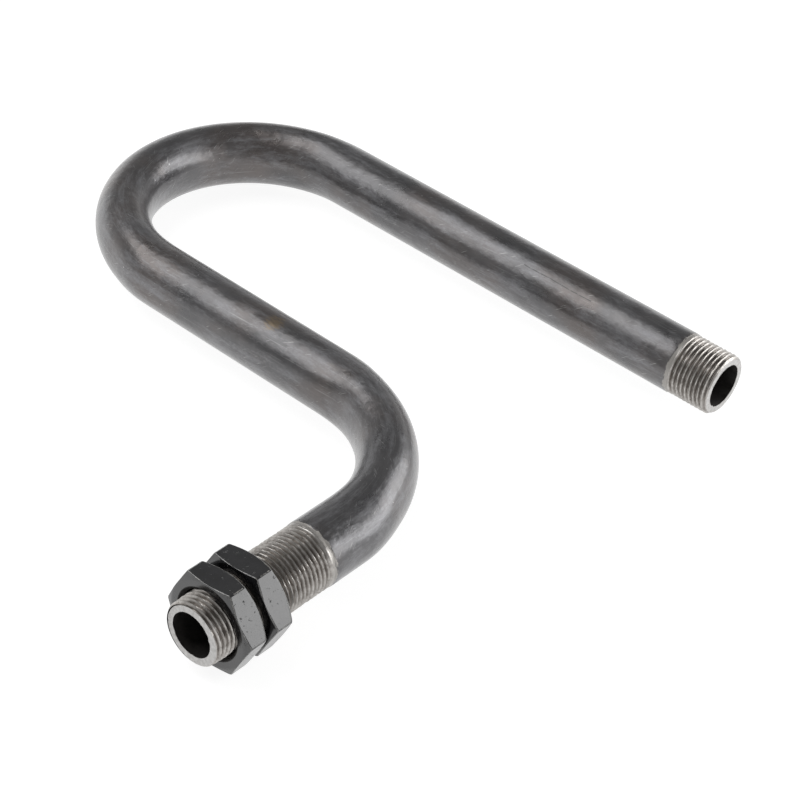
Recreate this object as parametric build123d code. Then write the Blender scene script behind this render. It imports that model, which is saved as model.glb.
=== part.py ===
"""Pressure gauge siphon: a U-form steel pipe with a running thread and two hexagon lock nuts.

Millimetres. The pipe's centre line lies in the XY plane, as the siphon lies on a bench.
The origin is the centre of the process end's face: the process leg runs from there along +Y,
a quarter bend turns it into the short leg along -X, the U bend turns it back, and the gauge
leg runs along +X to its own threaded end.
"""

from build123d import *
import math
import os

# Half-inch heavy steel pipe.
PIPE_OD = 21.3
PIPE_BORE = 14.9

# Half-inch pipe thread: its crests are turned a little under the pipe's own diameter.
THREAD_OD = 20.955
THREAD_DEPTH = 1.162
PROCESS_THREAD_LENGTH = 47.0
GAUGE_THREAD_LENGTH = 16.5
THREAD_RUN_OUT = 1.0
BORE_DEBURR = 0.5

# Centre line of the pipe, leg by leg from the process end.
PROCESS_LEG = 61.2
QUARTER_BEND_RADIUS = 48.8
SHORT_LEG = 77.0
U_BEND_RADIUS = 45.9
GAUGE_LEG = 161.6

# Cold bending flattens the pipe in the bend's plane and widens it across that plane.
FLATTENING = 0.11
WIDENING = 0.065
FLATTENED_AFTER = 12.0

# Hexagon lock nuts.
NUT_ACROSS_FLATS = 28.0
NUT_THICKNESS = 8.2
NUT_TURN = 4.2
NUT_CLEARANCE = 0.05
NUT_COUNTERSINK = 0.9
FRONT_NUT_FACE = 6.0
REAR_NUT_FACE = 16.2

# Each nut's corners are turned off lightly on the outer side and well back on the inner side.
OUTER_CHAMFER_ANGLE = 20.0
OUTER_FACE_RADIUS = 13.9
INNER_CHAMFER_ANGLE = 30.0
INNER_FACE_RADIUS = 13.0

PIPE_RADIUS = PIPE_OD / 2
BORE_RADIUS = PIPE_BORE / 2
WALL = PIPE_RADIUS - BORE_RADIUS
THREAD_RADIUS = THREAD_OD / 2


def leg(length, thread_length):
    """A straight hollow leg along +Z from a threaded end at Z = 0, turned as one profile."""
    chamfer_radius = THREAD_RADIUS - THREAD_DEPTH
    thread_end = thread_length - THREAD_RUN_OUT
    profile = Polyline(
        (BORE_RADIUS + BORE_DEBURR, 0),
        (chamfer_radius, 0),
        (THREAD_RADIUS, THREAD_DEPTH),
        (THREAD_RADIUS, thread_end),
        (PIPE_RADIUS, thread_length),
        (PIPE_RADIUS, length),
        (BORE_RADIUS, length),
        (BORE_RADIUS, BORE_DEBURR),
        close=True,
    )
    return revolve(Plane.XZ * make_face(profile), Axis.Z)


def middle_leg(length):
    """The plain hollow leg between the two bends, along +Z from Z = 0."""
    ring = Circle(PIPE_RADIUS) - Circle(BORE_RADIUS)
    return extrude(ring, length)


def oval(across, inward):
    """An oval of four tangent arcs, that meet where its outline runs at 45 degrees."""
    cosine = math.sqrt(0.5)
    centre_gap = (across - inward) / (2 * cosine - 1)
    end_radius = across - centre_gap * cosine
    x = across - end_radius + end_radius * cosine
    y = end_radius * cosine
    arcs = [
        ThreePointArc((x, -y), (across, 0), (x, y)),
        ThreePointArc((x, y), (0, inward), (-x, y)),
        ThreePointArc((-x, y), (-across, 0), (-x, -y)),
        ThreePointArc((-x, -y), (0, -inward), (x, -y)),
    ]
    return make_face(arcs)


def section(bend_radius, angle, radius, share, inset):
    """The pipe's section at this angle of a bend, flattened by this share and cut in by the inset."""
    across = radius * (1 + WIDENING * share) - inset
    inward = radius * (1 - FLATTENING * share) - inset
    slope = math.radians(angle)
    centre = Vector(bend_radius * (math.cos(slope) - 1), bend_radius * math.sin(slope), 0)
    heading = Vector(-math.sin(slope), math.cos(slope), 0)
    return Plane(origin=centre, x_dir=Vector(0, 0, 1), z_dir=heading) * oval(across, inward)


def bend_body(bend_radius, turn, radius, inset):
    """A bend from the origin towards +Y that turns about (-bend_radius, 0), anticlockwise.

    It goes oval over its first degrees, keeps that section, and comes back to round.
    """
    half_ramp = FLATTENED_AFTER / 2
    ramp = [(0, 0), (half_ramp, 0.5), (FLATTENED_AFTER, 1)]
    going_oval = [section(bend_radius, angle, radius, share, inset) for angle, share in ramp]
    going_round = [section(bend_radius, turn - angle, radius, share, inset) for angle, share in ramp]
    bend_axis = Axis((-bend_radius, 0, 0), (0, 0, 1))
    oval_turn = turn - 2 * FLATTENED_AFTER
    oval_run = revolve(going_oval[-1], bend_axis, revolution_arc=oval_turn)
    return loft(going_oval) + oval_run + loft(going_round)


def bend(bend_radius, turn):
    """A hollow bend whose wall keeps its thickness while the section goes oval."""
    outside = bend_body(bend_radius, turn, PIPE_RADIUS, 0)
    inside = bend_body(bend_radius, turn, PIPE_RADIUS, WALL)
    return outside - inside


def siphon_pipe():
    """The one bent pipe: process leg, quarter bend, short leg, U bend, gauge leg."""
    quarter_start = Vector(0, PROCESS_LEG, 0)
    quarter_end = quarter_start + Vector(-QUARTER_BEND_RADIUS, QUARTER_BEND_RADIUS, 0)
    u_start = quarter_end - Vector(SHORT_LEG, 0, 0)
    u_end = u_start + Vector(0, 2 * U_BEND_RADIUS, 0)
    gauge_end = u_end + Vector(GAUGE_LEG, 0, 0)

    process = Plane(origin=(0, 0, 0), z_dir=(0, 1, 0)) * leg(PROCESS_LEG, PROCESS_THREAD_LENGTH)
    quarter = Location(quarter_start) * bend(QUARTER_BEND_RADIUS, 90)
    middle = Plane(origin=u_start, z_dir=(1, 0, 0)) * middle_leg(SHORT_LEG)
    u_turn = Location(u_end, (0, 0, 90)) * bend(U_BEND_RADIUS, 180)
    gauge = Plane(origin=gauge_end, z_dir=(-1, 0, 0)) * leg(GAUGE_LEG, GAUGE_THREAD_LENGTH)
    return process + quarter + middle + u_turn + gauge


def lock_nut(face):
    """A hexagon lock nut round the process thread, with its outer face at this Y."""
    corner_radius = NUT_ACROSS_FLATS / math.sqrt(3)
    outer_drop = (corner_radius - OUTER_FACE_RADIUS) * math.tan(math.radians(OUTER_CHAMFER_ANGLE))
    inner_drop = (corner_radius - INNER_FACE_RADIUS) * math.tan(math.radians(INNER_CHAMFER_ANGLE))
    bore_radius = THREAD_RADIUS + NUT_CLEARANCE
    profile = Polyline(
        (bore_radius + NUT_COUNTERSINK, 0),
        (OUTER_FACE_RADIUS, 0),
        (corner_radius, outer_drop),
        (corner_radius, NUT_THICKNESS - inner_drop),
        (INNER_FACE_RADIUS, NUT_THICKNESS),
        (bore_radius + NUT_COUNTERSINK, NUT_THICKNESS),
        (bore_radius, NUT_THICKNESS - NUT_COUNTERSINK),
        (bore_radius, NUT_COUNTERSINK),
        close=True,
    )
    turned_blank = revolve(Plane.XZ * make_face(profile), Axis.Z)
    hexagon = extrude(RegularPolygon(corner_radius, 6), NUT_THICKNESS)
    nut = Rotation(0, 0, -NUT_TURN) * (turned_blank & hexagon)
    return Plane(origin=(0, face, 0), x_dir=(1, 0, 0), z_dir=(0, 1, 0)) * nut


def main():
    os.makedirs("parts", exist_ok=True)
    nodes = {
        "siphon_pipe": siphon_pipe(),
        "front_lock_nut": lock_nut(FRONT_NUT_FACE),
        "rear_lock_nut": lock_nut(REAR_NUT_FACE),
    }
    for name, shape in nodes.items():
        export_step(shape, f"parts/{name}.step")


main()
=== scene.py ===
import math

import bpy
import numpy as np
from mathutils import Matrix, Vector, noise


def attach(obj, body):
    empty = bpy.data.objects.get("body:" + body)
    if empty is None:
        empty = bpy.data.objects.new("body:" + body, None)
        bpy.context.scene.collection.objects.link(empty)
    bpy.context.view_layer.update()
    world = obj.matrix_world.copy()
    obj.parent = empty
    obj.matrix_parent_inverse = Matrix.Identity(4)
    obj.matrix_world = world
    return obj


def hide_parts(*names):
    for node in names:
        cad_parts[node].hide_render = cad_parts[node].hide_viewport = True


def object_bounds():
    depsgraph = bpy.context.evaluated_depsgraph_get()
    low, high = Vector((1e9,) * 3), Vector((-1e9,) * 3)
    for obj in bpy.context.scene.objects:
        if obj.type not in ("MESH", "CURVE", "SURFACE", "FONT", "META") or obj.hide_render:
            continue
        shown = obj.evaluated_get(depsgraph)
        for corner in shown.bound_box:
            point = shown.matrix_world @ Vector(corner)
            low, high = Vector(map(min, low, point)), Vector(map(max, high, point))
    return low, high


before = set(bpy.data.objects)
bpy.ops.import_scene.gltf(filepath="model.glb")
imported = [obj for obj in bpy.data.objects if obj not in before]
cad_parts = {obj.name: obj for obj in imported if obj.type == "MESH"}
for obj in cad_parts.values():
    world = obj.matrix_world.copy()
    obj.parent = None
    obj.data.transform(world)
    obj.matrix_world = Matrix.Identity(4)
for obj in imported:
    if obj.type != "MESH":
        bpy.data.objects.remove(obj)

# A pressure gauge siphon, as a bent pipe and two lock nuts in the CAD's frame. The origin is the
# centre of the process end's face. The process leg runs from there along +Y, and the gauge leg
# runs along +X to its own end.
CAD_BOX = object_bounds()
MM = 0.001

# The pipe's sizes, in millimetres, as its CAD solid has them.
PIPE_RADIUS = 10.65
BORE_RADIUS = 7.45
WALL = PIPE_RADIUS - BORE_RADIUS
THREAD_RADIUS = 10.4775
PROCESS_THREAD = 47.0
GAUGE_THREAD = 16.5
SHOULDER = 1.0
PROCESS_LEG = 61.2
QUARTER_RADIUS = 48.8
SHORT_LEG = 77.0
U_RADIUS = 45.9
GAUGE_LEG = 161.6
FLATTENING = 0.11
WIDENING = 0.065

# The lock nuts' sizes, as their CAD solids have them.
NUT_FLATS = 28.0
NUT_THICKNESS = 8.2
NUT_TURN = math.radians(4.2)
NUT_CLEARANCE = 0.05
NUT_COUNTERSINK = 0.9
OUTER_CHAMFER = math.radians(20)
OUTER_FACE_RADIUS = 13.9
INNER_CHAMFER = math.radians(30)
INNER_FACE_RADIUS = 13.0
FRONT_NUT_FACE = 6.0
REAR_NUT_FACE = 16.2

# The values from here down to the distances are this model's own, and not the CAD's.
# The thread's pitch is measured on the photo at this scale. Its depth is given.
PITCH = 1.62
THREAD_DEPTH = 0.95

# The thread form: from crest to root its depth grows by the slope, less the offset, cut off flat
# at both, and a share of it is a plain cosine instead.
FLANK_SLOPE = 1.35
FLANK_OFFSET = 0.1
COSINE_SHARE = 0.2

# A plain turned band lies between each thread and its shoulder.
PROCESS_TURNED_BAND = 1.7
GAUGE_TURNED_BAND = 0.9

# The process end is slightly tapered, and both threads have worn and nicked crests. A seed says
# where in the noise an end's wear or burrs are read.
PROCESS_TAPER = 0.55
TAPER_LENGTH = 16.0
CREST_WEAR = 0.12
CREST_NICKS = 0.5
NICKS_ABOVE = 0.3
PROCESS_WEAR_SEED = 0.0
GAUGE_WEAR_SEED = 40.0

# The end faces: how far in from the chamfer their first ring lies, how deep the lip of the bore
# is, the bore's radius there, and the burrs that stand into it.
FACE_RING_INSET = 0.15
FACE_LIP = 0.12
PROCESS_FACE_BORE = 7.15
GAUGE_FACE_BORE = 7.5
BURR_HEIGHT = 0.5
BURRS_ABOVE = 0.05
PROCESS_BURR_SEED = 3.0
GAUGE_BURR_SEED = 7.0

# The last of each thread's length has the scale's material, whose bare steel ends raggedly.
RAGGED_EDGE = 1.6

# The bends go oval over a longer turn than the CAD's.
FLATTENED_AFTER = math.radians(20)

# The nuts: how deep their bore thread is, how far their corners are worn back, how much their
# edges are softened, how far a face drops at its rim, and how far from the countersink its first
# ring lies. A column within so many degrees of a corner is marked as worn.
NUT_GROOVE = 0.6
NUT_CORNER_WEAR = 0.18
NUT_EDGE_SOFTENING = 0.2
NUT_FACE_DROP = 0.04
NUT_FACE_RING_GAP = 0.25
CORNER_DEGREES = 0.9
CORNER_MARK = 0.8

# Distances along the centre line, from the process end.
QUARTER_START = PROCESS_LEG
SHORT_START = QUARTER_START + QUARTER_RADIUS * math.pi / 2
U_START = SHORT_START + SHORT_LEG
GAUGE_START = U_START + U_RADIUS * math.pi
PIPE_LENGTH = GAUGE_START + GAUGE_LEG

# How fine the meshes are: columns round the pipe, and the longest step between rings. In a nut's
# UV map its rings count as NUT_ROW_LENGTH apart.
COLUMNS = 96
ROWS_PER_PITCH = 10
THREAD_STEP = PITCH / ROWS_PER_PITCH
BEND_STEP = 1.6
PROCESS_LEG_STEP = 2.0
LEG_STEP = 2.5
BORE_STEP = 5.0
NUT_ROW_LENGTH = 0.8
PIPE_SHARP_EDGES = math.radians(40)
NUT_SHARP_EDGES = math.radians(28)


# ---- The pipe ----

def smooth_step(x):
    x = min(max(x, 0.0), 1.0)
    return x * x * (3 - 2 * x)


def flattened_share(along, radius, turn):
    """How far the section has flattened at this distance into a bend, from 0 to 1."""
    angle = along / radius
    return smooth_step(min(angle, turn - angle) / FLATTENED_AFTER)


def station(s):
    """Centre (x, y), heading (x, y) and share of flattening at this distance along the pipe."""
    if s <= QUARTER_START:
        return (0.0, s), (0.0, 1.0), 0.0
    if s <= SHORT_START:
        a = (s - QUARTER_START) / QUARTER_RADIUS
        centre = (QUARTER_RADIUS * (math.cos(a) - 1), QUARTER_START + QUARTER_RADIUS * math.sin(a))
        share = flattened_share(s - QUARTER_START, QUARTER_RADIUS, math.pi / 2)
        return centre, (-math.sin(a), math.cos(a)), share
    short_y = QUARTER_START + QUARTER_RADIUS
    if s <= U_START:
        return (-QUARTER_RADIUS - (s - SHORT_START), short_y), (-1.0, 0.0), 0.0
    u_x = -QUARTER_RADIUS - SHORT_LEG
    if s <= GAUGE_START:
        a = (s - U_START) / U_RADIUS
        centre = (u_x - U_RADIUS * math.sin(a), short_y + U_RADIUS * (1 - math.cos(a)))
        share = flattened_share(s - U_START, U_RADIUS, math.pi)
        return centre, (-math.cos(a), math.sin(a)), share
    return (u_x + s - GAUGE_START, short_y + 2 * U_RADIUS), (1.0, 0.0), 0.0


def groove(turns):
    """Depth share of the thread form at this number of turns: 0 on a crest, 1 in a root."""
    t = abs(2 * (turns % 1.0) - 1)
    flank = min(max(FLANK_SLOPE * t - FLANK_OFFSET, 0.0), 1.0)
    rounded = 0.5 - 0.5 * math.cos(math.pi * t)
    return (1 - COSINE_SHARE) * flank + COSINE_SHARE * rounded


def groove_share(from_end, angle, length, band):
    """How deep the thread is cut here, from 0 on a crest or past the thread to 1 in a root."""
    turns = from_end / PITCH - angle / (2 * math.pi)
    fade = smooth_step((length - band - from_end) / PITCH)
    return groove(turns) * fade


def noise_round(angle, fineness, along):
    """Smooth noise that closes on itself round the pipe, with smaller lumps for more fineness."""
    return noise.noise((fineness * math.cos(angle), fineness * math.sin(angle), along))


def threaded_radius(from_end, angle, length, band, seed, taper):
    """Radius of a threaded end at this distance from its face, with its chamfer and shoulder."""
    wear = max(noise_round(angle, 3, from_end * 0.9 + seed), 0)
    nicks = max(noise_round(angle, 10, from_end * 1.1 + seed) - NICKS_ABOVE, 0)
    worn = CREST_WEAR * wear + CREST_NICKS * nicks
    worn += taper * max(1 - from_end / TAPER_LENGTH, 0)
    radius = THREAD_RADIUS - worn - THREAD_DEPTH * groove_share(from_end, angle, length, band)
    into_pipe = smooth_step((from_end - (length - SHOULDER)) / SHOULDER)
    radius += (PIPE_RADIUS - THREAD_RADIUS) * into_pipe
    chamfer = THREAD_RADIUS - THREAD_DEPTH + from_end
    return min(radius, chamfer)


def outer_point(s, angle):
    """(radius, depth in the thread) of the pipe's outside, before a bend flattens it."""
    if s < PROCESS_THREAD:
        place = (s, angle, PROCESS_THREAD, PROCESS_TURNED_BAND)
        radius = threaded_radius(*place, PROCESS_WEAR_SEED, PROCESS_TAPER)
        return radius, groove_share(*place)
    from_gauge = PIPE_LENGTH - s
    if from_gauge < GAUGE_THREAD:
        place = (from_gauge, -angle, GAUGE_THREAD, GAUGE_TURNED_BAND)
        radius = threaded_radius(*place, GAUGE_WEAR_SEED, 0.0)
        return radius, groove_share(*place)
    return PIPE_RADIUS, 0.0


def ring(s, point_of, inset=0.0):
    """One ring of (x, y, z, mark) round the centre line; its first point is underneath.

    point_of gives each point's radius and mark. The inset is how far inside the pipe's outer
    surface it lies, so that the wall keeps its thickness where the section is oval.
    """
    (cx, cy), (hx, hy), share = station(s)
    points = []
    for j in range(COLUMNS):
        angle = 2 * math.pi * j / COLUMNS - math.pi / 2
        radius, mark = point_of(s, angle)
        across = (radius + inset) * (1 + WIDENING * share) - inset
        inward = (radius + inset) * (1 - FLATTENING * share) - inset
        side = inward * math.cos(angle)
        points.append((cx - hy * side, cy + hx * side, across * math.sin(angle), mark))
    return points


def round_ring(s, radius, inset=0.0):
    return ring(s, lambda along, angle: (radius, 0.0), inset)


def burr(angle, seed):
    """How far a torn burr stands into the bore at this angle of an end face."""
    return BURR_HEIGHT * max(noise_round(angle, 4, seed) - BURRS_ABOVE, 0)


def gauge_bore_edge(s, angle):
    return GAUGE_FACE_BORE - burr(angle, GAUGE_BURR_SEED), 0.0


def process_bore_edge(s, angle):
    return PROCESS_FACE_BORE - burr(angle, PROCESS_BURR_SEED), 0.0


def even_steps(start, end, step):
    """From the start up to but not including the end, in equal steps no longer than this."""
    count = max(1, math.ceil((end - start) / step))
    return [start + (end - start) * i / count for i in range(count)]


def outside_stations():
    """Where the outer rings stand, from the process end to the gauge end."""
    plain_end = PIPE_LENGTH - GAUGE_THREAD
    stations = even_steps(0.0, PROCESS_THREAD, THREAD_STEP)
    stations += even_steps(PROCESS_THREAD, QUARTER_START, PROCESS_LEG_STEP)
    stations += even_steps(QUARTER_START, SHORT_START, BEND_STEP)
    stations += even_steps(SHORT_START, U_START, LEG_STEP)
    stations += even_steps(U_START, GAUGE_START, BEND_STEP)
    stations += even_steps(GAUGE_START, plain_end, LEG_STEP)
    stations += even_steps(plain_end, PIPE_LENGTH, THREAD_STEP)
    return stations + [PIPE_LENGTH]


def pipe_rows():
    """(ring of points, distance along, kind of surface that follows) all round the wall."""
    rows = []
    for s in outside_stations():
        from_gauge = PIPE_LENGTH - s
        threaded = s < PROCESS_THREAD - RAGGED_EDGE or from_gauge < GAUGE_THREAD - RAGGED_EDGE
        rows.append((ring(s, outer_point), s, "machined" if threaded else "scale"))
    # The gauge end's face, then the bore all the way back, then the process end's face.
    end = PIPE_LENGTH
    face_edge = THREAD_RADIUS - THREAD_DEPTH - FACE_RING_INSET
    rows[-1] = (rows[-1][0], end, "face")
    rows.append((round_ring(end, face_edge), end, "face"))
    rows.append((ring(end, gauge_bore_edge), end, "face"))
    inside = even_steps(FACE_LIP, PIPE_LENGTH - FACE_LIP, BORE_STEP) + [PIPE_LENGTH - FACE_LIP]
    for s in reversed(inside):
        rows.append((round_ring(s, BORE_RADIUS, WALL), s, "bore"))
    rows[-1] = (ring(FACE_LIP, process_bore_edge), FACE_LIP, "face")
    rows.append((ring(0.0, process_bore_edge), 0.0, "face"))
    rows.append((round_ring(0.0, face_edge), 0.0, "face"))
    return rows


def grid_mesh(name, rows, kinds, sharp_angle):
    """A closed mesh from rings of points, each joined to the next and the last to the first.

    Its UV map runs along the piece in u and once round it in v, and the attribute mark
    holds each point's fourth number: how deep in a thread, or how near an edge, it lies.
    """
    count = len(rows[0][0])
    marked = np.array([row[0] for row in rows], dtype=float).reshape(-1, 4)
    points = marked[:, :3] * MM
    faces = []
    uvs = []
    slots = []
    for i, (_, along, kind) in enumerate(rows):
        k = (i + 1) % len(rows)
        next_along = rows[k][1]
        for j in range(count):
            m = (j + 1) % count
            faces.append((i * count + j, i * count + m, k * count + m, k * count + j))
            low, high = j / count, (j + 1) / count
            uvs += [(along, low), (along, high), (next_along, high), (next_along, low)]
            slots.append(kinds.index(kind))
    mesh = bpy.data.meshes.new(name)
    mesh.from_pydata(points.tolist(), [], faces)
    marks = mesh.attributes.new("mark", "FLOAT", "POINT")
    marks.data.foreach_set("value", marked[:, 3])
    layer = mesh.uv_layers.new(name="along_and_round")
    layer.data.foreach_set("uv", [value for pair in uvs for value in pair])
    mesh.polygons.foreach_set("material_index", slots)
    mesh.polygons.foreach_set("use_smooth", [True] * len(faces))
    mesh.set_sharp_from_angle(angle=sharp_angle)
    mesh.update()
    piece = bpy.data.objects.new(name, mesh)
    bpy.context.collection.objects.link(piece)
    return piece


# ---- The lock nuts ----

def nut_columns():
    """Angles round a nut in radians, closer together at the hexagon's corners."""
    from_corner = [0, 0.5, 1.1, 2.0, 4.0, 7.0, 11.0, 15.5, 20.0, 25.0]
    half_sector = from_corner + [30.0]
    sector = half_sector + [60 - degrees for degrees in reversed(from_corner)][:-1]
    return [math.radians(60 * k + degrees) for k in range(6) for degrees in sector]


def hexagon_radius(angle):
    """Distance from the axis to the hexagon: its worn corners are at multiples of 60 degrees."""
    from_flat = (angle % math.radians(60)) - math.radians(30)
    flat = NUT_FLATS / 2 / math.cos(from_flat)
    corner = NUT_FLATS / math.sqrt(3)
    return min(flat, corner - NUT_CORNER_WEAR)


def chamfered_side(side, face_radius, chamfer):
    """(radius, depth, mark) from a nut's face over its chamfer to its side.

    The mark is 1 on the softened edge, less beside it, and 0 elsewhere.
    """
    slope = math.tan(chamfer)
    drop = (side - face_radius) * slope
    soft = min(NUT_EDGE_SOFTENING, 0.4 * (side - face_radius))
    points = [
        (THREAD_RADIUS + NUT_CLEARANCE + NUT_COUNTERSINK + NUT_FACE_RING_GAP, 0.0, 0.0),
        (face_radius - 0.5, 0.0, 0.0),
        (face_radius, NUT_FACE_DROP, 0.3),
    ]
    for share in (0.35, 0.7):
        radius = face_radius + (side - face_radius) * share
        points.append((radius, NUT_FACE_DROP + drop * share, 0.0))
    points.append((side - soft, drop - soft * slope, 0.5))
    points.append((side - 0.3 * soft, drop + 0.3 * soft, 1.0))
    points.append((side, drop + soft, 0.6))
    points.append((side, drop + 2.5 * soft + 0.1, 0.0))
    return points


def threaded_bore(angle, face):
    """(radius, depth, mark) down a nut's bore: its thread is cut outward, clear of the pipe's."""
    bore = THREAD_RADIUS + NUT_CLEARANCE
    steps = math.ceil(NUT_THICKNESS / THREAD_STEP)
    points = []
    for i in range(steps + 1):
        depth = NUT_THICKNESS * (1 - i / steps)
        turns = (face + depth) / PITCH - 0.5 + (NUT_TURN - angle) / (2 * math.pi)
        radius = bore + NUT_GROOVE * (1 - groove(turns))
        from_face = min(depth, NUT_THICKNESS - depth)
        points.append((max(radius, bore + NUT_COUNTERSINK - from_face), depth, 0.0))
    return points


def nut_profile(angle, face):
    """The closed section of a nut at this angle, and how many of its points lie outside."""
    side = hexagon_radius(angle)
    near_corner = abs((math.degrees(angle) + 30) % 60 - 30) < CORNER_DEGREES
    along_corner = CORNER_MARK if near_corner else 0.0
    outer = chamfered_side(side, OUTER_FACE_RADIUS, OUTER_CHAMFER)
    inner = chamfered_side(side, INNER_FACE_RADIUS, INNER_CHAMFER)
    middle = [(side, NUT_THICKNESS * share, along_corner) for share in (0.3, 0.45, 0.6, 0.7)]
    far = [(radius, NUT_THICKNESS - depth, mark) for radius, depth, mark in reversed(inner)]
    outside = outer + middle + far
    return outside + threaded_bore(angle, face), len(outside)


def nut_rows(face):
    """Rings of points along the wall of a nut whose outer face is at this Y."""
    columns = nut_columns()
    profiles = [nut_profile(angle, face) for angle in columns]
    outside_count = profiles[0][1]
    rows = []
    for i in range(len(profiles[0][0])):
        points = []
        for angle, (profile, _) in zip(columns, profiles):
            radius, depth, mark = profile[i]
            around = NUT_TURN - angle
            points.append((radius * math.cos(around), face + depth, radius * math.sin(around), mark))
        kind = "nut" if i < outside_count - 1 else "nut_thread"
        rows.append((points, i * NUT_ROW_LENGTH, kind))
    return rows


# ---- Materials ----

PIPE_ROUND = 2 * math.pi * PIPE_RADIUS


class Shader:
    """A material's node tree, with short calls for the nodes that the materials share."""

    def __init__(self, name):
        self.material = bpy.data.materials.new(name)
        self.material.use_nodes = True
        self.tree = self.material.node_tree
        self.surface = self.tree.nodes["Principled BSDF"]

    def node(self, kind, **settings):
        made = self.tree.nodes.new(kind)
        for key, value in settings.items():
            setattr(made, key, value)
        return made

    def link(self, source, target):
        self.tree.links.new(source, target)

    def position(self, scale):
        """Object coordinates in millimetres, stretched by the scale."""
        coordinates = self.node("ShaderNodeTexCoord")
        mapping = self.node("ShaderNodeMapping")
        mapping.inputs["Scale"].default_value = [value / MM for value in scale]
        self.link(coordinates.outputs["Object"], mapping.inputs["Vector"])
        return mapping.outputs["Vector"]

    def along(self, scale_along, scale_round):
        """The UV map, as distance along and turns round, each times its scale."""
        coordinates = self.node("ShaderNodeUVMap", uv_map="along_and_round")
        mapping = self.node("ShaderNodeMapping")
        mapping.inputs["Scale"].default_value = (scale_along, scale_round, 1)
        self.link(coordinates.outputs["UV"], mapping.inputs["Vector"])
        return mapping.outputs["Vector"]

    def noise(self, vector, scale, detail=4, roughness=0.55):
        made = self.node("ShaderNodeTexNoise")
        made.inputs["Scale"].default_value = scale
        made.inputs["Detail"].default_value = detail
        made.inputs["Roughness"].default_value = roughness
        self.link(vector, made.inputs["Vector"])
        return made.outputs["Fac"]

    def ramp(self, source, *stops):
        """A colour ramp; each stop is a position and a grey level or a colour."""
        made = self.node("ShaderNodeValToRGB")
        elements = made.color_ramp.elements
        while len(elements) < len(stops):
            elements.new(0.5)
        for element, (where, level) in zip(elements, stops):
            element.position = where
            colour = level if isinstance(level, tuple) else (level, level, level)
            element.color = (*colour, 1)
        self.link(source, made.inputs["Fac"])
        return made.outputs["Color"]

    def mix(self, share, first, second):
        """The first colour where the share is 0, the second where it is 1."""
        made = self.node("ShaderNodeMix", data_type="RGBA")
        for index, value in ((0, share), (6, first), (7, second)):
            if isinstance(value, tuple):
                made.inputs[index].default_value = (*value, 1)
            elif isinstance(value, (int, float)):
                made.inputs[index].default_value = value
            else:
                self.link(value, made.inputs[index])
        return made.outputs[2]

    def slanted(self, degrees, scale_long, scale_across):
        """Distances along and round in millimetres, turned by an angle and then stretched."""
        turned = self.node("ShaderNodeMapping")
        turned.inputs["Rotation"].default_value = (0, 0, math.radians(degrees))
        self.link(self.along(1.0, PIPE_ROUND), turned.inputs["Vector"])
        stretched = self.node("ShaderNodeMapping")
        stretched.inputs["Scale"].default_value = (scale_long, scale_across, 1)
        self.link(turned.outputs["Vector"], stretched.inputs["Vector"])
        return stretched.outputs["Vector"]

    def along_and_round(self):
        """Distance along the pipe in millimetres, and turns round it."""
        parts = self.node("ShaderNodeSeparateXYZ")
        self.link(self.along(1.0, 1.0), parts.inputs[0])
        return parts.outputs["X"], parts.outputs["Y"]

    def mark(self):
        """The mesh's mark attribute: deep in a thread, or near a nut's edge."""
        return self.node("ShaderNodeAttribute", attribute_name="mark").outputs["Fac"]

    def math(self, operation, first, second):
        made = self.node("ShaderNodeMath", operation=operation)
        for index, value in ((0, first), (1, second)):
            if isinstance(value, (int, float)):
                made.inputs[index].default_value = value
            else:
                self.link(value, made.inputs[index])
        return made.outputs[0]

    def near(self, point, radius):
        """1 at this point in millimetres, falling to 0 at the radius."""
        distance = self.node("ShaderNodeVectorMath", operation="DISTANCE")
        distance.inputs[1].default_value = point
        self.link(self.position((1, 1, 1)), distance.inputs[0])
        share = self.math("DIVIDE", distance.outputs["Value"], radius)
        falling = self.node("ShaderNodeMath", operation="SUBTRACT", use_clamp=True)
        falling.inputs[0].default_value = 1.0
        self.link(share, falling.inputs[1])
        return falling.outputs[0]

    def bump(self, height, strength, distance_mm, before=None):
        """A normal from a height of 0 to 1 that stands for this distance, on top of another."""
        made = self.node("ShaderNodeBump")
        made.inputs["Strength"].default_value = strength
        made.inputs["Distance"].default_value = distance_mm * MM
        self.link(height, made.inputs["Height"])
        if before is not None:
            self.link(before, made.inputs["Normal"])
        return made.outputs["Normal"]

    def finish(self, colour, roughness, normal, metallic):
        """Links the surface's inputs and gives the material back."""
        self.link(colour, self.surface.inputs["Base Color"])
        self.link(roughness, self.surface.inputs["Roughness"])
        self.link(normal, self.surface.inputs["Normal"])
        self.surface.inputs["Metallic"].default_value = metallic
        return self.material


# Places on the pipe, in millimetres and turns: rust on the short leg, a fine split along the
# gauge leg, and bare steel that reaches a little past each thread.
RUST_SPOT = (-74.0, 108.5, 10.5)
RUST_REACH = 9.0
SPLIT_START = GAUGE_START + 83.0
SPLIT_END = GAUGE_START + 111.0
SPLIT_TURN = 0.597
SPLIT_WANDER = 0.012
SPLIT_HALF_WIDTH = 0.0026
BARE_REACH = 4.5
PROCESS_BARE = PROCESS_THREAD - 2.6
GAUGE_BARE = GAUGE_THREAD - 2.4


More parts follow.
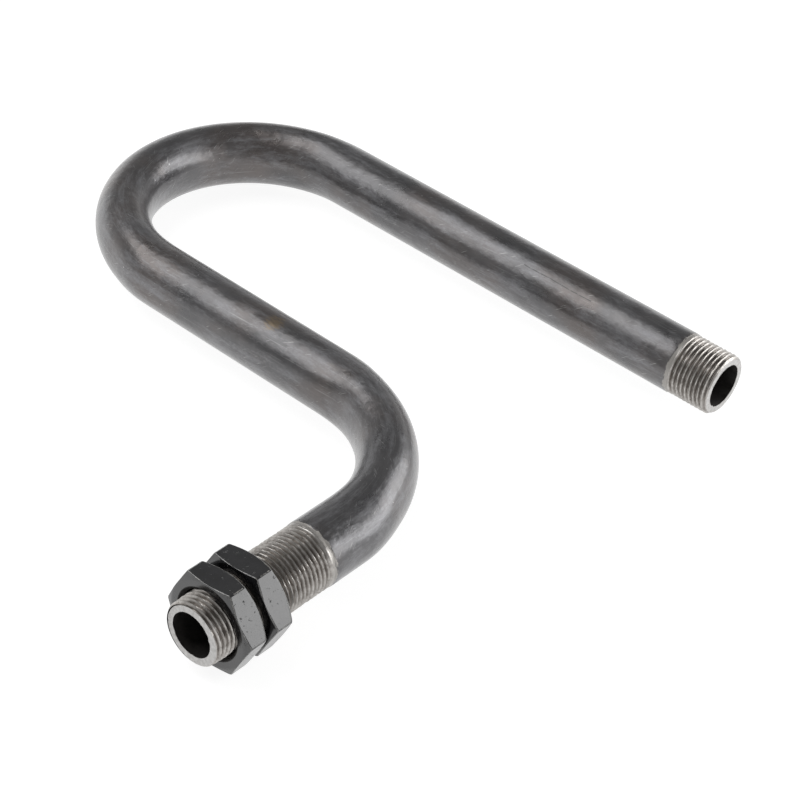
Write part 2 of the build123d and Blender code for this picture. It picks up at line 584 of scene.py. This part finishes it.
def split_line(shader):
    """How clearly a fine broken split shows here: it runs along part of the gauge leg."""
    distance, turns = shader.along_and_round()
    wander = shader.math("MULTIPLY", shader.noise(shader.along(0.12, 0.0), 1.0, 3), SPLIT_WANDER)
    centre = shader.math("ADD", wander, SPLIT_TURN - SPLIT_WANDER / 2)
    off = shader.math("SUBTRACT", turns, centre)
    thin = shader.math("LESS_THAN", shader.math("ABSOLUTE", off, 0.0), SPLIT_HALF_WIDTH)
    after = shader.math("GREATER_THAN", distance, SPLIT_START)
    before = shader.math("LESS_THAN", distance, SPLIT_END)
    broken = shader.ramp(shader.noise(shader.along(0.5, 20.0), 1.0, 3), (0.35, 0.15), (0.5, 0.85))
    inside = shader.math("MULTIPLY", after, before)
    return shader.math("MULTIPLY", shader.math("MULTIPLY", thin, inside), broken)


def bare_ends(shader):
    """1 on the bare steel beside each thread, ending in a ragged edge against the scale."""
    distance, _ = shader.along_and_round()
    ragged = shader.noise(shader.along(0.5, 9.0), 1.0, 6, 0.75)
    reach = shader.math("MULTIPLY", ragged, BARE_REACH)
    process_edge = shader.math("ADD", reach, PROCESS_BARE)
    process = shader.math("LESS_THAN", distance, process_edge)
    from_gauge = shader.math("SUBTRACT", PIPE_LENGTH, distance)
    gauge_edge = shader.math("ADD", reach, GAUGE_BARE)
    gauge = shader.math("LESS_THAN", from_gauge, gauge_edge)
    return shader.math("MAXIMUM", process, gauge)


def mill_scale():
    """Dark oiled scale on drawn steel, with bare steel beside the threads.

    From the base up: cloudy greys, warm tints, dark blotches, rubbed patches, fine lengthwise and
    crossing scratches, specks, pits, a split and a rust spot.
    """
    shader = Shader("mill_scale")
    place = shader.position((1, 1, 1))
    clouds = shader.noise(place, 0.06, 5, 0.6)
    base = shader.ramp(
        clouds,
        (0.3, (0.074, 0.073, 0.077)),
        (0.52, (0.1, 0.098, 0.102)),
        (0.75, (0.135, 0.13, 0.132)),
    )
    tint_mask = shader.ramp(shader.noise(place, 0.035, 3), (0.48, 0.0), (0.66, 0.7))
    colour = shader.mix(tint_mask, base, (0.118, 0.098, 0.09))
    blotches = shader.noise(shader.along(0.08, 12.0), 1.0, 8, 0.8)
    blotch_mask = shader.ramp(blotches, (0.36, 0.45), (0.52, 0.0))
    colour = shader.mix(blotch_mask, colour, (0.055, 0.053, 0.054))
    grain = shader.noise(place, 0.9, 9, 0.9)
    patches = shader.noise(shader.along(0.04, 11.0), 1.0, 8, 0.8)
    rubbed = shader.math("MULTIPLY", shader.ramp(patches, (0.4, 0.0), (0.66, 1.0)), grain)
    rubbed_mask = shader.ramp(rubbed, (0.16, 0.0), (0.5, 0.85))
    colour = shader.mix(rubbed_mask, colour, (0.225, 0.225, 0.236))
    lengthwise = shader.noise(shader.slanted(2, 0.05, 2.6), 1.0, 3, 0.6)
    lengthwise_mask = shader.ramp(lengthwise, (0.6, 0.0), (0.7, 0.5))
    colour = shader.mix(lengthwise_mask, colour, (0.27, 0.268, 0.27))
    crossing = shader.noise(shader.slanted(38, 0.16, 3.2), 1.0, 2, 0.5)
    crossing_mask = shader.ramp(crossing, (0.68, 0.0), (0.73, 0.8))
    colour = shader.mix(crossing_mask, colour, (0.42, 0.415, 0.41))
    specks = shader.ramp(shader.noise(place, 0.8, 2, 0.5), (0.75, 0.0), (0.79, 0.9))
    colour = shader.mix(specks, colour, (0.5, 0.49, 0.48))
    pits = shader.ramp(shader.noise(place, 0.7, 4, 0.7), (0.25, 0.8), (0.33, 0.0))
    colour = shader.mix(pits, colour, (0.045, 0.042, 0.041))
    split = split_line(shader)
    colour = shader.mix(split, colour, (0.02, 0.019, 0.018))
    stretched = shader.noise(shader.position((0.35, 1.3, 1.3)), 1.0, 6, 0.8)
    rust_edge = shader.math("MULTIPLY", shader.near(RUST_SPOT, RUST_REACH), stretched)
    rust_mask = shader.ramp(rust_edge, (0.3, 0.0), (0.42, 0.75))
    colour = shader.mix(rust_mask, colour, (0.22, 0.16, 0.09))
    bare = bare_ends(shader)
    colour = shader.mix(bare, colour, (0.37, 0.352, 0.33))
    roughness = shader.ramp(clouds, (0.3, 0.25), (0.7, 0.34))
    roughness = shader.mix(rubbed_mask, roughness, (0.46, 0.46, 0.46))
    roughness = shader.mix(bare, roughness, (0.52, 0.52, 0.52))
    normal = shader.bump(shader.noise(place, 0.5, 8, 0.75), 0.45, 0.16)
    normal = shader.bump(rubbed, 0.45, 0.14, normal)
    normal = shader.bump(shader.noise(place, 0.09, 3), 0.5, 1.6, normal)
    normal = shader.bump(split, -0.8, 0.15, normal)
    shader.surface.inputs["IOR"].default_value = 2.2
    shader.surface.inputs["Coat Weight"].default_value = 0.6
    shader.surface.inputs["Coat Roughness"].default_value = 0.2
    return shader.finish(colour, roughness, normal, 0.8)


def machined_steel():
    """Cut thread: pale warm steel on the crests, painted shade in the roots, torn in places."""
    shader = Shader("machined_steel")
    place = shader.position((1, 1, 1))
    patches = shader.noise(place, 0.5, 5, 0.6)
    base = shader.ramp(
        patches,
        (0.3, (0.32, 0.302, 0.285)),
        (0.55, (0.46, 0.442, 0.42)),
        (0.75, (0.6, 0.58, 0.56)),
    )
    torn = shader.ramp(shader.noise(place, 1.3, 5, 0.75), (0.54, 0.0), (0.66, 0.75))
    colour = shader.mix(torn, base, (0.13, 0.113, 0.1))
    # Painted shade: the colour gets darker the deeper a point lies in the thread's roots.
    painted_root_shade = shader.ramp(shader.mark(), (0.2, 0.0), (0.75, 0.62))
    colour = shader.mix(painted_root_shade, colour, (0.13, 0.11, 0.096))
    roughness = shader.ramp(patches, (0.3, 0.4), (0.7, 0.26))
    lines = shader.noise(shader.along(5.0, 2.0), 1.0, 3, 0.6)
    normal = shader.bump(lines, 0.3, 0.07)
    normal = shader.bump(shader.noise(place, 2.2, 3), 0.25, 0.08, normal)
    return shader.finish(colour, roughness, normal, 0.95)


def cut_face():
    """The faced ends: bright steel with fine saw and file marks."""
    shader = Shader("cut_face")
    place = shader.position((1, 1, 1))
    patches = shader.noise(place, 0.8, 5, 0.6)
    colour = shader.ramp(patches, (0.3, (0.5, 0.49, 0.475)), (0.7, (0.68, 0.67, 0.66)))
    roughness = shader.ramp(patches, (0.3, 0.55), (0.7, 0.4))
    marks = shader.noise(shader.position((3.5, 3.5, 0.5)), 1.0, 3, 0.6)
    normal = shader.bump(marks, 0.4, 0.08)
    return shader.finish(colour, roughness, normal, 0.7)


def dark_bore():
    """The raw inside of the pipe: dark rough scale."""
    shader = Shader("dark_bore")
    place = shader.position((1, 1, 1))
    clouds = shader.noise(place, 0.35, 5, 0.6)
    colour = shader.ramp(clouds, (0.3, (0.012, 0.011, 0.01)), (0.7, (0.035, 0.031, 0.029)))
    roughness = shader.ramp(clouds, (0.3, 0.55), (0.7, 0.8))
    normal = shader.bump(shader.noise(place, 1.1, 5), 0.5, 0.2)
    return shader.finish(colour, roughness, normal, 0.3)


def black_nut():
    """Blackened steel nuts: glossy, lightly pitted, with edges and specks worn pale."""
    shader = Shader("black_nut")
    place = shader.position((1, 1, 1))
    clouds = shader.noise(place, 0.25, 5, 0.6)
    base = shader.ramp(clouds, (0.3, (0.006, 0.006, 0.007)), (0.7, (0.014, 0.014, 0.016)))
    specks = shader.ramp(shader.noise(place, 1.0, 4, 0.7), (0.68, 0.0), (0.75, 0.8))
    colour = shader.mix(specks, base, (0.16, 0.155, 0.15))
    chipped = shader.math("MULTIPLY", shader.mark(), shader.noise(place, 0.7, 5, 0.75))
    worn = shader.ramp(chipped, (0.3, 0.0), (0.5, 0.9))
    colour = shader.mix(worn, colour, (0.42, 0.41, 0.39))
    pitted = shader.noise(place, 0.75, 4, 0.65)
    pits = shader.ramp(pitted, (0.27, 0.0), (0.36, 1.0))
    roughness = shader.ramp(clouds, (0.3, 0.14), (0.7, 0.22))
    roughness = shader.mix(pits, (0.6, 0.6, 0.6), roughness)
    normal = shader.bump(pits, 0.6, 0.2)
    normal = shader.bump(shader.noise(place, 2.2, 4), 0.25, 0.06, normal)
    shader.surface.inputs["IOR"].default_value = 1.8
    return shader.finish(colour, roughness, normal, 0.0)


# ---- The studio ----

# The floor, in metres: a grey that takes the shadow, and a glow for the camera and reflections.
FLOOR_HALF = 3.0
FLOOR_GAP = 0.0002
FLOOR_GREY = 0.32
FLOOR_GLOW = 0.88

# The surroundings: white up to a little over the horizon, then darkening to the ceiling. These
# heights are those of a ray's direction, 0 at the horizon and 1 straight up. All of it is a little
# dimmer as light on the object than as the camera and reflections see it.
WHITE_BELOW = 0.03
CEILING_ABOVE = 0.3
CEILING_LEVEL = 0.3
LEVEL_SEEN = 1.0
LEVEL_AS_LIGHT = 0.8

# Each soft box: where it stands, what it faces, its sides in metres and its power in watts.
SOFT_BOXES = {
    "front_left_box": ((-0.336, -0.055, 0.494), (-0.05, 0.13, 0.0), (0.5, 0.5), 1.6),
    "back_right_box": ((0.35, 0.48, 0.19), (0.0, 0.06, 0.0), (0.75, 0.32), 2.1),
}


def seen_by_eye(tree, strength, otherwise=0.0):
    """The strength for camera, glossy and transmission rays, and the other for the rest."""
    path = tree.nodes.new("ShaderNodeLightPath")
    total = path.outputs["Is Camera Ray"]
    for name in ("Is Glossy Ray", "Is Transmission Ray"):
        add = tree.nodes.new("ShaderNodeMath")
        add.operation = "MAXIMUM"
        tree.links.new(total, add.inputs[0])
        tree.links.new(path.outputs[name], add.inputs[1])
        total = add.outputs[0]
    scale = tree.nodes.new("ShaderNodeMapRange")
    scale.inputs["To Min"].default_value = otherwise
    scale.inputs["To Max"].default_value = strength
    tree.links.new(total, scale.inputs["Value"])
    return scale.outputs["Result"]


def studio_floor(height):
    """A wide white floor that keeps the object's shadow."""
    sides = ((-1, -1), (1, -1), (1, 1), (-1, 1))
    corners = [(FLOOR_HALF * x, FLOOR_HALF * y, height) for x, y in sides]
    mesh = bpy.data.meshes.new("studio_floor")
    mesh.from_pydata(corners, [], [(0, 1, 2, 3)])
    floor = bpy.data.objects.new("studio_floor", mesh)
    bpy.context.collection.objects.link(floor)
    material = bpy.data.materials.new("floor_white")
    material.use_nodes = True
    nodes = material.node_tree.nodes
    link = material.node_tree.links.new
    nodes.clear()
    diffuse = nodes.new("ShaderNodeBsdfDiffuse")
    diffuse.inputs["Color"].default_value = (FLOOR_GREY, FLOOR_GREY, FLOOR_GREY, 1)
    glow = nodes.new("ShaderNodeEmission")
    link(seen_by_eye(material.node_tree, FLOOR_GLOW), glow.inputs["Strength"])
    both = nodes.new("ShaderNodeAddShader")
    link(diffuse.outputs[0], both.inputs[0])
    link(glow.outputs[0], both.inputs[1])
    output = nodes.new("ShaderNodeOutputMaterial")
    link(both.outputs[0], output.inputs["Surface"])
    mesh.materials.append(material)


def soft_lamp(name, location, target, size, power):
    light = bpy.data.lights.new(name, "AREA")
    light.shape = "RECTANGLE"
    light.size, light.size_y = size
    light.energy = power
    lamp = bpy.data.objects.new(name, light)
    lamp.location = location
    lamp.rotation_euler = (Vector(target) - Vector(location)).to_track_quat("-Z", "Y").to_euler()
    bpy.context.collection.objects.link(lamp)


def studio_light():
    """Surroundings that are white at the horizon and dimmer overhead, and the soft boxes."""
    world = bpy.data.worlds.new("studio")
    bpy.context.scene.world = world
    world.use_nodes = True
    tree = world.node_tree
    background = tree.nodes["Background"]
    direction = tree.nodes.new("ShaderNodeTexCoord")
    height = tree.nodes.new("ShaderNodeSeparateXYZ")
    tree.links.new(direction.outputs["Generated"], height.inputs[0])
    ceiling = tree.nodes.new("ShaderNodeMapRange")
    ceiling.inputs["From Min"].default_value = WHITE_BELOW
    ceiling.inputs["From Max"].default_value = CEILING_ABOVE
    ceiling.inputs["To Min"].default_value = 1.0
    ceiling.inputs["To Max"].default_value = CEILING_LEVEL
    tree.links.new(height.outputs["Z"], ceiling.inputs["Value"])
    tree.links.new(ceiling.outputs["Result"], background.inputs["Color"])
    strength = seen_by_eye(tree, LEVEL_SEEN, LEVEL_AS_LIGHT)
    tree.links.new(strength, background.inputs["Strength"])
    for name, (location, target, size, power) in SOFT_BOXES.items():
        soft_lamp(name, location, target, size, power)


# The camera's place, in metres, found from the object's proportions in perspective. The lens and
# the sensor are in millimetres.
CAMERA_AZIMUTH = math.radians(37.2)
CAMERA_ELEVATION = math.radians(37.94)
CAMERA_ROLL = math.radians(6.59)
CAMERA_TARGET = Vector((-0.02946, 0.119, 0.0))
CAMERA_DISTANCE = 0.6781
CAMERA_LENS = 98.67
SENSOR_WIDTH = 36.0


def studio_camera():
    data = bpy.data.cameras.new("camera")
    data.lens = CAMERA_LENS
    data.sensor_width = SENSOR_WIDTH
    camera = bpy.data.objects.new("camera", data)
    across = math.cos(CAMERA_ELEVATION)
    back = Vector((
        math.sin(CAMERA_AZIMUTH) * across,
        -math.cos(CAMERA_AZIMUTH) * across,
        math.sin(CAMERA_ELEVATION),
    ))
    camera.location = CAMERA_TARGET + back * CAMERA_DISTANCE
    level = (-back).to_track_quat("-Z", "Y").to_matrix()
    camera.rotation_euler = (level @ Matrix.Rotation(CAMERA_ROLL, 3, "Z")).to_euler()
    bpy.context.collection.objects.link(camera)
    bpy.context.scene.camera = camera


# ---- Putting it together ----

def give_materials(piece, materials, order):
    for kind in order:
        piece.data.materials.append(materials[kind])


def build_object():
    materials = {
        "scale": mill_scale(),
        "machined": machined_steel(),
        "face": cut_face(),
        "bore": dark_bore(),
        "nut": black_nut(),
        "nut_thread": dark_bore(),
    }
    pipe_kinds = ["scale", "machined", "face", "bore"]
    pipe = grid_mesh("bent_pipe", pipe_rows(), pipe_kinds, PIPE_SHARP_EDGES)
    give_materials(pipe, materials, pipe_kinds)
    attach(pipe, "pipe")
    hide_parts("siphon_pipe")
    nut_kinds = ["nut", "nut_thread"]
    for side, face in (("front", FRONT_NUT_FACE), ("rear", REAR_NUT_FACE)):
        nut = grid_mesh(f"{side}_nut", nut_rows(face), nut_kinds, NUT_SHARP_EDGES)
        give_materials(nut, materials, nut_kinds)
        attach(nut, f"{side}_nut")
        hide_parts(f"{side}_lock_nut")


bpy.context.scene.view_settings.view_transform = "Standard"
studio_camera()
studio_light()
build_object()
studio_floor(CAD_BOX[0][2] - FLOOR_GAP)
